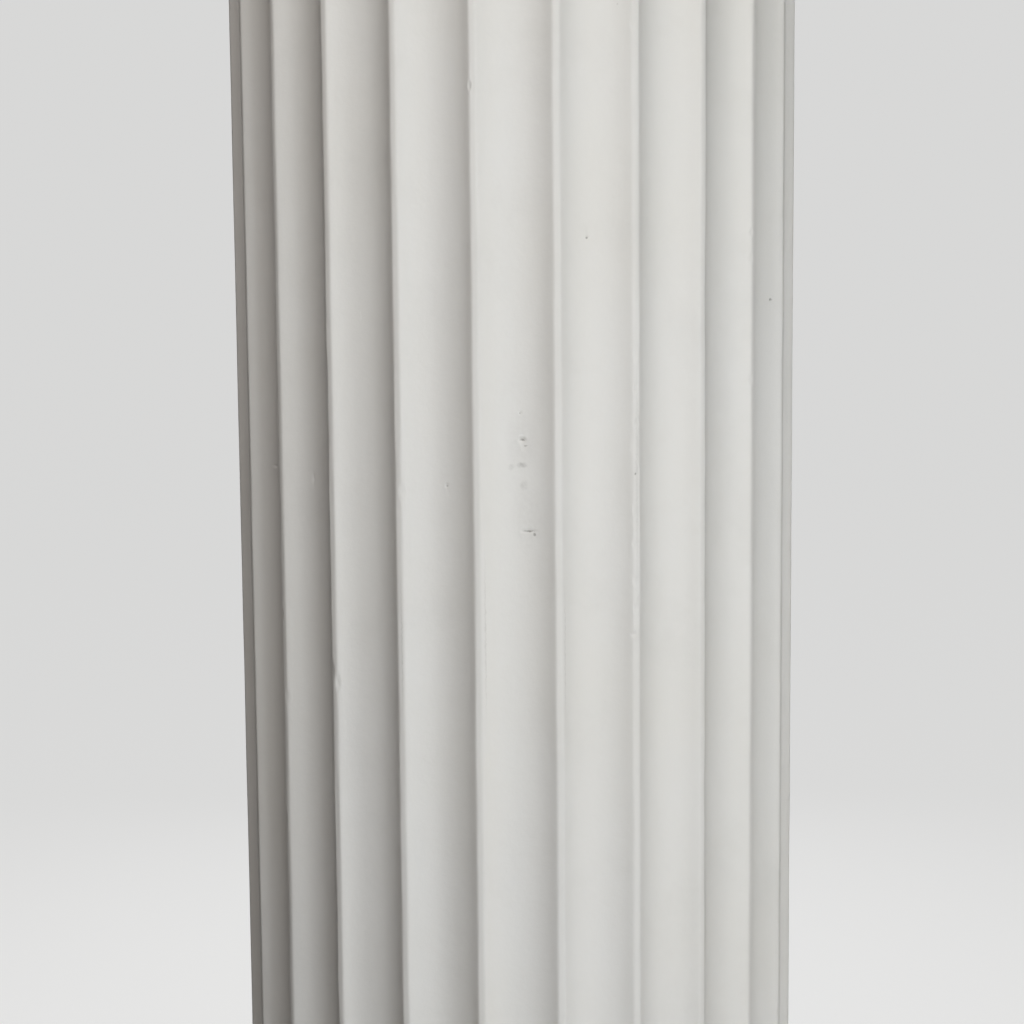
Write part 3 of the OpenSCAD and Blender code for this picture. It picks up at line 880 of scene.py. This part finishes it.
def dentShaft(shaft, turn):
    d = dentShape
    facing = 0 if math.cos(turn) > 0 else 1
    marks = []
    for azimuth, height, halfWide, halfTall, depth in allMarks(facing):
        side = math.radians(azimuth) + facing * math.pi
        outwards = Vector((math.sin(side), -math.cos(side), 0))
        along = Vector((math.cos(side), math.sin(side), 0))
        reach = (d["reach"] * halfWide + d["moreAcross"], d["reach"] * halfTall + d["moreUp"])
        centre = outwards * shaft.radius * d["inset"] + Vector((0, 0, height))
        marks.append((centre, along, halfWide, halfTall, depth, outwards, reach))
    nearest = kdtree.KDTree(len(marks))
    for k, mark in enumerate(marks):
        nearest.insert(mark[0], k)
    nearest.balance()

    def close(point, share):
        for spot, k, away in nearest.find_range(point, d["search"]):
            offset = point - spot
            reachAcross, reachUp = marks[k][6]
            if abs(offset.dot(marks[k][1])) < reachAcross * share and abs(offset.z) < reachUp * share:
                return True
        return False

    for share in d["patches"]:  # finer towards the middle of each mark
        pick("faces", lambda face: close(face.calc_center_median(), share))
        bpy.ops.mesh.subdivide(number_cuts=d["cuts"])
    pick("faces", lambda face: close(face.calc_center_median(), 1.0))

    def press(point):
        for spot, k, away in nearest.find_range(point, d["search"]):
            centre, along, halfWide, halfTall, depth, outwards, reach = marks[k]
            offset = point - centre
            share = math.hypot(offset.dot(along) / halfWide, offset.z / halfTall)
            share *= 1 + d["ragged"] * noise.noise(point * d["raggedScale"])
            if share < d["limit"]:
                rim = d["rim"] * math.exp(-((share - d["rimAt"]) * d["rimTightness"]) ** 2)
                point = point - outwards * depth * (math.exp(-share * share) - rim)
        return point

    reshape(press, True)


def arc(across, up, radius, start, end, steps):  # degrees, 0 points outwards and 90 up
    angles = (math.radians(start + (end - start) * k / steps) for k in range(steps + 1))
    return [(across + radius * math.cos(a), up + radius * math.sin(a)) for a in angles]


turnedSizes = {
    "edgeRound": 0.7 * mm,
    "sharpFrom": 28,  # degrees of turn, from which a corner counts as sharp
    "sharpShare": 0.45,
    "steps": 144,
    "dowelRadius": 5 * mm,
    "dowelRoom": 0.05 * mm,
}


def softCorners(outline, radius):  # a small round at each sharp corner of a closed outline
    soft = []
    for k, here in enumerate(outline):
        here = Vector(here)
        back = Vector(outline[k - 1]) - here
        ahead = Vector(outline[(k + 1) % len(outline)]) - here
        if back.length < 1e-6 or ahead.length < 1e-6:
            continue
        turn = math.pi - back.angle(ahead)
        if turn < math.radians(turnedSizes["sharpFrom"]):
            soft.append(here)
            continue
        most = turnedSizes["sharpShare"] * min(back.length, ahead.length)
        step = min(radius * math.tan(turn / 2), most)
        first, last = here + back.normalized() * step, here + ahead.normalized() * step
        for share in (0, 0.25, 0.5, 0.75, 1):
            soft.append(first.lerp(here, share).lerp(here.lerp(last, share), share))
    return soft


def spun(name, outline, place, steps):  # an outline of (radius, height) turned about an upright axis
    restAll()
    bpy.ops.mesh.primitive_circle_add(vertices=len(outline), radius=0.1, fill_type="NOTHING")
    piece = added(name)
    for vertex, (across, up) in zip(piece.data.vertices, outline):
        vertex.co = (place[0] + across, place[1], up)
    editAll()
    bpy.ops.mesh.spin(steps=steps, angle=2 * math.pi, center=(*place, 0), axis=(0, 0, 1))
    closeUp()
    return piece


def turned(name, outline, low):  # a ring round the column's axis, from its base up
    soft = softCorners(outline, turnedSizes["edgeRound"])
    return spun(name, [(across, low + up) for across, up in soft], (0, 0), turnedSizes["steps"])


def drillForDowels(piece, node, low=None, high=None):  # as long as the dowels, unless an end is given
    t = turnedSizes
    dowelLow, dowelHigh = (corner.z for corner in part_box(node))
    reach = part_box(node)[1].x - t["dowelRadius"]
    low = dowelLow - mm if low is None else low - bench["drillPast"]
    high = dowelHigh + mm if high is None else high + bench["drillPast"]
    drill(piece, [(-reach, 0), (reach, 0)], t["dowelRadius"] + t["dowelRoom"], low, high)


baseSizes = {
    "lowerTorus": 38 * mm,
    "scotia": 22 * mm,
    "upperTorus": 24 * mm,
    "fillet": 5 * mm,
    "upperFilletStep": 3 * mm,
    "scotiaStep": 9 * mm,
    "lowerTorusStep": 5 * mm,
    "lowerTorusSteps": 20,
    "scotiaTurn": (268, 135, 14),
    "upperTorusSteps": 16,
}


def makeBaseMoulding(shaft):
    b = baseSizes
    low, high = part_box("base_moulding")
    upper = shaft.radius + shaftSizes["fillet"]
    filletHigh = upper + b["upperFilletStep"]
    filletLow = filletHigh + b["scotiaStep"]
    torus, scotia, bead = b["lowerTorus"] / 2, b["scotia"] / 2, b["upperTorus"] / 2
    scotiaLow = b["lowerTorus"] + b["fillet"]
    scotiaHigh = scotiaLow + b["scotia"]
    upperLow = scotiaHigh + b["fillet"]
    outline = [(shaft.core, 0)]
    outline += arc(filletLow - b["lowerTorusStep"], torus, torus, -90, 90, b["lowerTorusSteps"])
    outline += [(filletLow, b["lowerTorus"]), (filletLow, scotiaLow)]
    outline += arc(filletLow, scotiaLow + scotia, scotia, *b["scotiaTurn"])
    outline += [(filletHigh, scotiaHigh), (filletHigh, upperLow)]
    outline += arc(upper, upperLow + bead, bead, -90, 90, b["upperTorusSteps"])
    outline += [(shaft.core, high.z - low.z)]
    piece = turned("baseMoulding", outline, low.z)
    drillForDowels(piece, "base_dowels", low=low.z)
    smooth(piece, bench["turnedSmoothUnder"])
    return piece


neckingSizes = {
    "bead": 16 * mm,
    "beadStep": 2 * mm,
    "beadSteps": 16,
    "fillet": 5 * mm,
}


def makeNeckingRing(shaft):
    n = neckingSizes
    low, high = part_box("necking_ring")
    bead = n["bead"] / 2
    fillet = shaft.radius + n["fillet"]
    outline = [(shaft.core, 0)]
    outline += arc(shaft.radius + n["beadStep"], bead, bead, -90, 90, n["beadSteps"])
    outline += [(fillet, n["bead"]), (fillet, high.z - low.z), (shaft.core, high.z - low.z)]
    piece = turned("neckingRing", outline, low.z)
    smooth(piece, bench["turnedSmoothUnder"])
    return piece


capitalSizes = {
    "neck": 32 * mm,
    "annulet": 4 * mm,
    "echinus": 26 * mm,
    "echinusSteps": 16,
}


def makeCapital(shaft):
    c = capitalSizes
    low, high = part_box("capital_moulding")
    step, neck, reach = c["annulet"], c["neck"], shaft.radius
    outline = [(shaft.core, 0), (reach, 0), (reach, neck)]
    outline += [(reach + step, neck), (reach + step, neck + step)]
    outline += [(reach + 2 * step, neck + step), (reach + 2 * step, neck + 2 * step)]
    outline += arc(reach + step, neck + 2 * step + c["echinus"], c["echinus"], -90, 0, c["echinusSteps"])
    outline += [(shaft.core, high.z - low.z)]
    piece = turned("capitalMoulding", outline, low.z)
    drillForDowels(piece, "top_dowels", high=high.z)
    smooth(piece, bench["turnedSmoothUnder"])
    return piece


squareSizes = {
    "wall": 14 * mm,
    "cornerRound": 3 * mm,
    "cornerSegments": 5,
    "edgeRound": 0.9 * mm,
}


def hollowSquare(name, node, plate):  # open underneath, with the top plate left
    low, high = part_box(node)
    size = high - low
    restAll()
    bpy.ops.mesh.primitive_cube_add(size=1, location=(low + high) / 2, scale=size)
    piece = settle(added(name))
    edit()
    pick("edges", lambda edge: abs(edge.verts[0].co.z - edge.verts[1].co.z) > 0.5 * size.z)
    segments = squareSizes["cornerSegments"]
    bpy.ops.mesh.bevel(offset=squareSizes["cornerRound"], segments=segments, affect="EDGES")
    pick("faces", lambda face: face.normal.z < -0.9)
    bpy.ops.mesh.delete(type="FACE")
    half = size.x / 2 - squareSizes["wall"]
    pickRim()
    bpy.ops.mesh.extrude_edges_move()

    def inward(point):  # the pocket's corners are square
        return Vector((max(-half, min(half, point.x)), max(-half, min(half, point.y)), point.z))

    reshape(inward, True)
    extrudeUp(size.z - plate)
    bpy.ops.mesh.edge_face_add()
    closeUp()
    return piece


def boreThrough(piece, radius, low, high):
    drill(piece, [(0, 0)], radius, low, high + bench["drillPast"], bench["boreSides"])


# a knock in an edge or corner: the lump that cuts it, in shares of its size
chipShape = {
    "roundedCorner": 0.3,
    "out": 0.55,
    "ragged": 0.35,
    "raggedScale": 160,
    "subdivisions": 3,
}


def chipEdges(piece, node, chips):
    low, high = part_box(node)
    centre, half = (low + high) / 2, (high - low) / 2
    for k, (x, y, up, size) in enumerate(chips):
        restAll()
        at = Vector((centre.x + x * half.x, centre.y + y * half.y, low.z + up * 2 * half.z))
        corner = squareSizes["cornerRound"] * chipShape["roundedCorner"] if abs(x) == abs(y) == 1 else 0
        at -= Vector((x * corner, y * corner, 0))
        outwards = Vector((x if abs(x) == 1 else 0, y if abs(y) == 1 else 0, 2 * up - 1)).normalized()
        at += outwards * size * chipShape["out"]
        fineness = chipShape["subdivisions"]
        bpy.ops.mesh.primitive_ico_sphere_add(subdivisions=fineness, radius=size, location=at)
        lump = settle(added("lump"))
        edit()

        def roughen(point):
            bulge = noise.noise(point * chipShape["raggedScale"] + Vector((k, 0, 0)))
            return point + (point - at) * chipShape["ragged"] * bulge

        reshape(roughen)
        leave()
        cutAway(piece, lump)


# chips: share of the half width each way, share of the height, size
blockSizes = {
    "plate": 14 * mm,
    "chips": ((1.0, -1.0, 1.0, 5.0 * mm), (-1.0, -1.0, 0.0, 6.0 * mm), (-0.42, -1.0, 1.0, 3.2 * mm),
              (0.66, -1.0, 0.0, 4.0 * mm), (-1.0, 0.35, 1.0, 3.6 * mm), (1.0, 0.52, 0.0, 4.4 * mm),
              (1.0, 1.0, 0.4, 4.0 * mm), (0.2, 1.0, 1.0, 3.4 * mm)),
    "scuffed": 0.09,  # metres up from the floor
}


def makePlinthBlock(shaft):
    piece = hollowSquare("plinthBlock", "plinth_block", blockSizes["plate"])
    low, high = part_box("plinth_block")
    boreThrough(piece, shaft.core, low.z, high.z)
    edgeSoftened(piece, squareSizes["edgeRound"])
    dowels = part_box("base_dowels")
    drillForDowels(piece, "base_dowels", low=dowels[0].z, high=high.z)
    chipEdges(piece, "plinth_block", blockSizes["chips"])
    smooth(piece)
    flatten(piece)
    return piece


abacusSizes = {
    "plate": 20 * mm,
    "boltHole": 15 * mm,
    "chips": ((-1.0, -1.0, 0.0, 3.6 * mm), (0.58, -1.0, 1.0, 2.6 * mm), (1.0, -0.3, 1.0, 3.0 * mm),
              (1.0, 1.0, 1.0, 3.4 * mm), (-0.7, 1.0, 0.0, 3.2 * mm)),
}


def makeAbacus():
    piece = hollowSquare("abacusLid", "abacus", abacusSizes["plate"])
    low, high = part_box("abacus")
    boreThrough(piece, abacusSizes["boltHole"], low.z, high.z)
    edgeSoftened(piece, squareSizes["edgeRound"])
    chipEdges(piece, "abacus", abacusSizes["chips"])
    smooth(piece)
    flatten(piece)
    return piece


bpy.context.scene.view_settings.view_transform = "Standard"
makeCamera()
makeFloor()
makeAir()
makeLamps()
print("studio ready")

bodyOf = {node: body for body, nodes in frame["record"]["behaviour"]["bodies"].items() for node in nodes}


def stand(piece, node, finish):  # this piece takes the node's place
    piece.data.materials.clear()
    piece.data.materials.append(finish)
    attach(piece, bodyOf[node])
    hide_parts(node)


shaftPaint = makePlasterPaint("shaftPaint", shaftGrime, shaftScratches)
castingPaint = makePlasterPaint("castingPaint")
blockPaint = makePlasterPaint("blockPaint", scuffs=blockSizes["scuffed"])
stand(makeShaftHalf("shaftFront", "shaft_front", 0), "shaft_front", shaftPaint)
stand(makeShaftHalf("shaftBack", "shaft_back", math.pi), "shaft_back", shaftPaint)
print("shaft ready")

column = Shaft("shaft_front")
stand(makeBaseMoulding(column), "base_moulding", castingPaint)
stand(makeNeckingRing(column), "necking_ring", castingPaint)
stand(makeCapital(column), "capital_moulding", castingPaint)
stand(makePlinthBlock(column), "plinth_block", blockPaint)
stand(makeAbacus(), "abacus", castingPaint)
print("castings ready")

# what lies behind the castings, and the feet
finishes = {
    "plywood": makePlywood(),
    "timberX": makeTimber("softwoodAcross", 0),
    "timberY": makeTimber("softwoodBack", 1),
    "timberZ": makeTimber("softwoodUp", 2),
    "zinc": makeZinc(),
    "iron": makeIron(),
    "felt": makeFelt(),
    "nylon": makeMoulded("blackNylon", softTones["nylon"], 0.42, 0.25),
    "rubber": makeMoulded("blackRubber", softTones["rubber"], 0.75, 0.5),
}
# finish, how far the edges are eased, and the nodes
feet = (1, 2, 3, 4)
easedParts = [
    ("plywood", 0.8 * mm, ("base_board", "top_board")),
    ("plywood", 0.6 * mm, ("lower_spigot", "upper_spigot")),
    ("timberX", 1.5 * mm, ("bearer_front", "bearer_back")),
    ("timberY", 1.5 * mm, ("bearer_left", "bearer_right")),
    ("timberZ", 1.2 * mm, ("seam_batten_left", "seam_batten_right")),
    ("timberZ", 0.8 * mm, ("base_dowels", "top_dowels")),
    ("iron", 2.0 * mm, ("ballast_plate_1", "ballast_plate_2", "ballast_plate_3")),
    ("felt", 0.6 * mm, ("felt_pads",)),
    ("zinc", 0.5 * mm, ("lower_tie_nut",)),
    ("zinc", 0.6 * mm, ("coupling_nut",)),
    ("zinc", 0.3 * mm, ("lower_tie_washer", "upper_tie_washer")),
    ("zinc", 0.25 * mm, ("tee_nuts",)),
]
for k in feet:
    easedParts.append(("nylon", 0.7 * mm, (f"foot_pad_{k}",)))
    easedParts.append(("rubber", 0.6 * mm, (f"foot_sole_{k}",)))


def pieceName(node):  # top_board becomes topBoard
    first, *others = node.split("_")
    return first + "".join(word.capitalize() for word in others)


def easedCopy(node, width):
    part = frame["nodes"][node]
    piece = part.copy()
    piece.data = part.data.copy()
    piece.name = piece.data.name = pieceName(node)
    for collection in part.users_collection:
        collection.objects.link(piece)
    workOn(piece)
    editAll()
    bpy.ops.mesh.remove_doubles(threshold=bench["copyMerge"])
    bpy.ops.mesh.dissolve_limited(angle_limit=math.radians(bench["straight"]))
    leave()
    edgeSoftened(piece, width, bench["copySmoothUnder"], clamp=True)
    flatten(piece)
    return piece


for finish, width, nodes in easedParts:
    for node in nodes:
        stand(easedCopy(node, width), node, finishes[finish])
print("inner parts ready")

screwSizes = {
    "rodPitch": 1.75 * mm,
    "studPitch": 1.5 * mm,
    "threadDepth": 0.58,  # share of the pitch
    "grooveWidth": 1.6,
    "grooveSlope": 4.6,
    "around": 24,
    "rowsEachTurn": 6,
    "smoothUnder": 50,
}


def threaded(name, place, radius, pitch, low, high):
    around = screwSizes["around"]
    rows = round((high - low) / pitch * screwSizes["rowsEachTurn"])
    depth = screwSizes["threadDepth"] * pitch
    restAll()
    bpy.ops.mesh.primitive_grid_add(x_subdivisions=around, y_subdivisions=rows, size=1)
    piece = added(name)
    edit()

    def wind(point):
        turn = point.x + 0.5
        z = low + (point.y + 0.5) * (high - low)
        phase = ((z - low) / pitch - turn) % 1
        groove = screwSizes["grooveWidth"] - screwSizes["grooveSlope"] * abs(phase - 0.5)
        groove = min(max(groove, 0), 1)
        tip = min(z - low, high - z) / pitch
        inwards = depth * max(groove, 1 - tip)  # the ends are chamfered
        angle = 2 * math.pi * turn
        reach = radius - inwards
        return Vector((place[0] + reach * math.cos(angle), place[1] + reach * math.sin(angle), z))

    reshape(wind)
    bpy.ops.mesh.select_all(action="SELECT")
    bpy.ops.mesh.remove_doubles(threshold=bench["copyMerge"])
    for end in (low, high):
        pickRim(end)
        bpy.ops.mesh.edge_face_add()
    closeUp()
    smooth(piece, screwSizes["smoothUnder"])
    return piece


footSizes = {
    "stud": 5 * mm,
    "ball": 6 * mm,
    "ballAt": 10 * mm,
    "ballSteps": 14,
    "neck": 4 * mm,
    "sides": 32,
    "collarAt": 16 * mm,
    "collar": 5 * mm,
    "collarAcross": 14 * mm,
    "collarEdge": 0.4 * mm,
    "neckIn": 0.2 * mm,  # how far the neck and the screw stand in the collar
    "screwIn": 0.3 * mm,
    "smoothUnder": 40,
}


def makeFootStud(k):
    f = footSizes
    low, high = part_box(f"foot_stud_{k}")
    place = ((low.x + high.x) / 2, (low.y + high.y) / 2)
    neckTop = f["collarAt"] + f["neckIn"]
    lean = math.degrees(math.acos(f["neck"] / f["ball"]))
    outline = arc(0, f["ballAt"], f["ball"], -90, lean, f["ballSteps"])
    outline += [(f["neck"], neckTop), (0, neckTop)]
    ball = spun(f"footStud{k}", outline, place, f["sides"])
    smooth(ball, f["smoothUnder"])
    restAll()
    middle = f["collarAt"] + f["collar"] / 2
    corner = f["collarAcross"] / math.sqrt(3)
    bpy.ops.mesh.primitive_cylinder_add(vertices=6, radius=corner, depth=f["collar"],
                                        location=(*place, middle), rotation=(0, 0, math.pi / 6))
    collar = edgeSoftened(settle(added("collar")), f["collarEdge"])
    screwLow = f["collarAt"] + f["collar"] - f["screwIn"]
    screw = threaded("screw", place, f["stud"], screwSizes["studPitch"], screwLow, high.z)
    workOn(ball)
    collar.select_set(True)
    screw.select_set(True)
    bpy.ops.object.join()
    return ball


for k in feet:
    stand(makeFootStud(k), f"foot_stud_{k}", finishes["zinc"])
rodLow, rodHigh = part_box("tie_rod")
rod = threaded("tieRod", (0, 0), rodHigh.x, screwSizes["rodPitch"], rodLow.z, rodHigh.z)
stand(rod, "tie_rod", finishes["zinc"])
boardScrews = frame["nodes"]["board_screws"]
boardScrews.data.materials.clear()
boardScrews.data.materials.append(finishes["zinc"])
print("screws ready")
